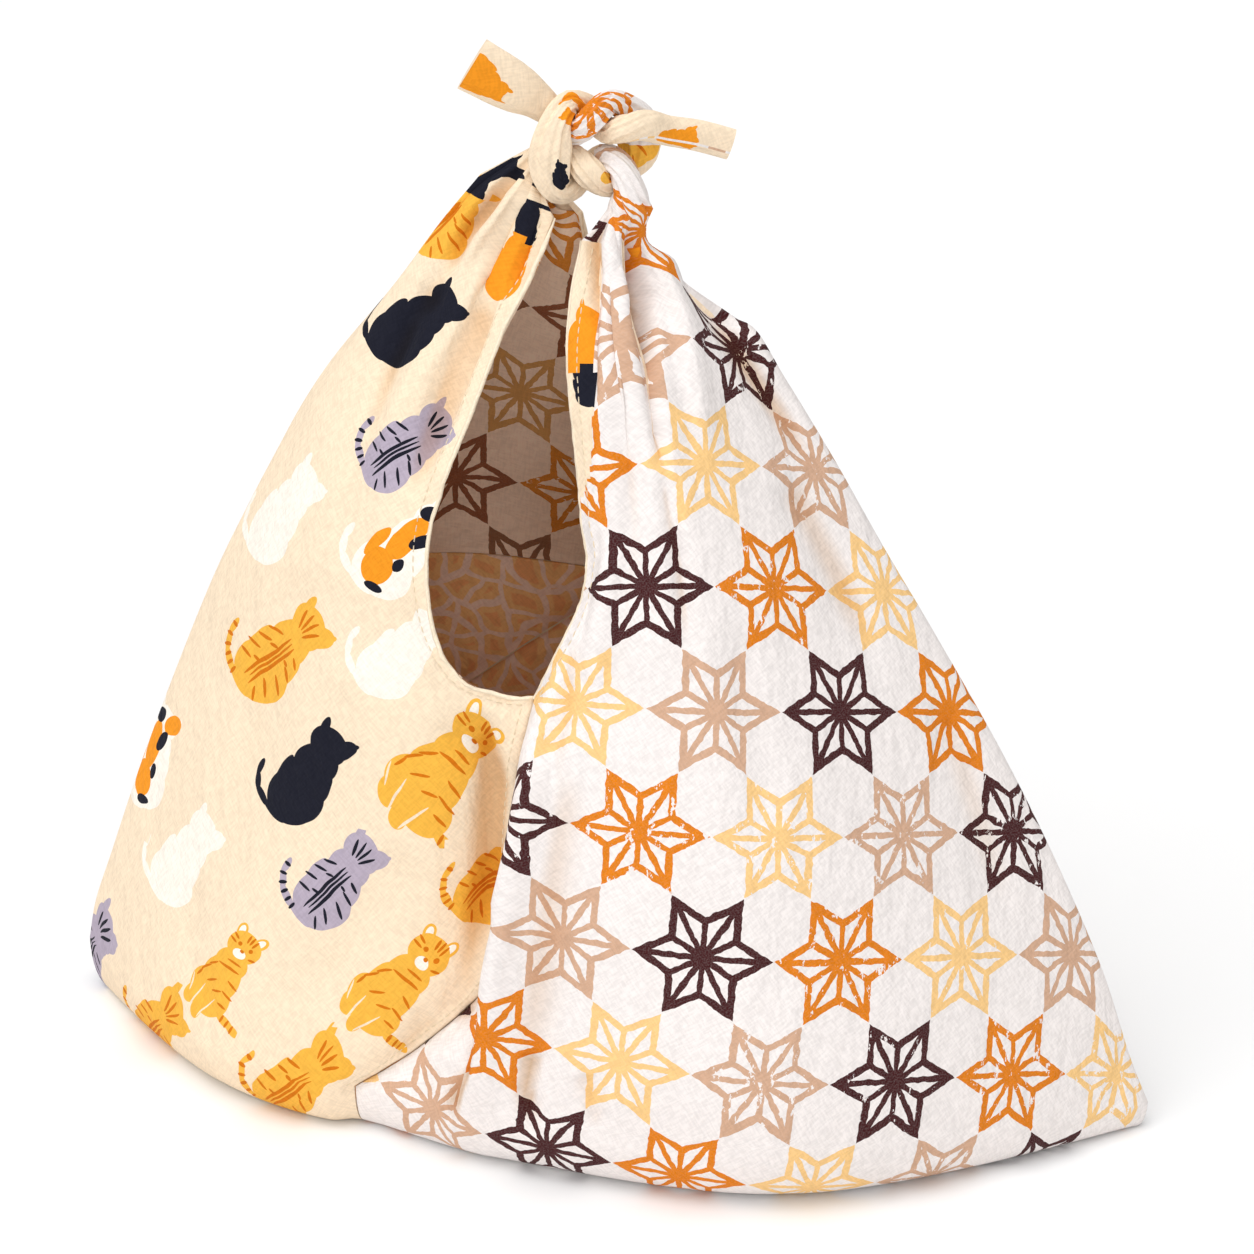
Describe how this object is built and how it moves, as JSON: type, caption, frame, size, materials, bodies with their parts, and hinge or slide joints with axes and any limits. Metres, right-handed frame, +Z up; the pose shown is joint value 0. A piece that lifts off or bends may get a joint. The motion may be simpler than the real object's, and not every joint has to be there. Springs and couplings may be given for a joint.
{
  "type": "azuma bag",
  "caption": "Soft cloth carrying bag sewn from two printed panels, its two tall horns tied over an open mouth in a square knot.",
  "frame": {"origin": "on the ground, under the centre of the standing bag's bounding box", "axes": "+X along the bag's long base from the cat-print horn to the star-print horn, +Y from the front mouth to the back mouth, +Z up"},
  "size_m": [0.314, 0.134, 0.297],
  "materials": {
    "cat_panel_cotton": "matt printed cotton with a fine crinkled weave, cream",
    "star_panel_cotton": "matt printed cotton with a fine crinkled weave, white",
    "left_lining_cotton": "matt printed cotton, white",
    "right_lining_cotton": "matt printed cotton, cream",
    "base_lining_cotton": "matt printed cotton, ochre"
  },
  "bodies": {
    "root": {"cat_panel": "cat_panel_cotton", "star_panel": "star_panel_cotton", "left_lining": "left_lining_cotton", "right_lining": "right_lining_cotton", "base_lining": "base_lining_cotton"}
  },
  "joints": []
}
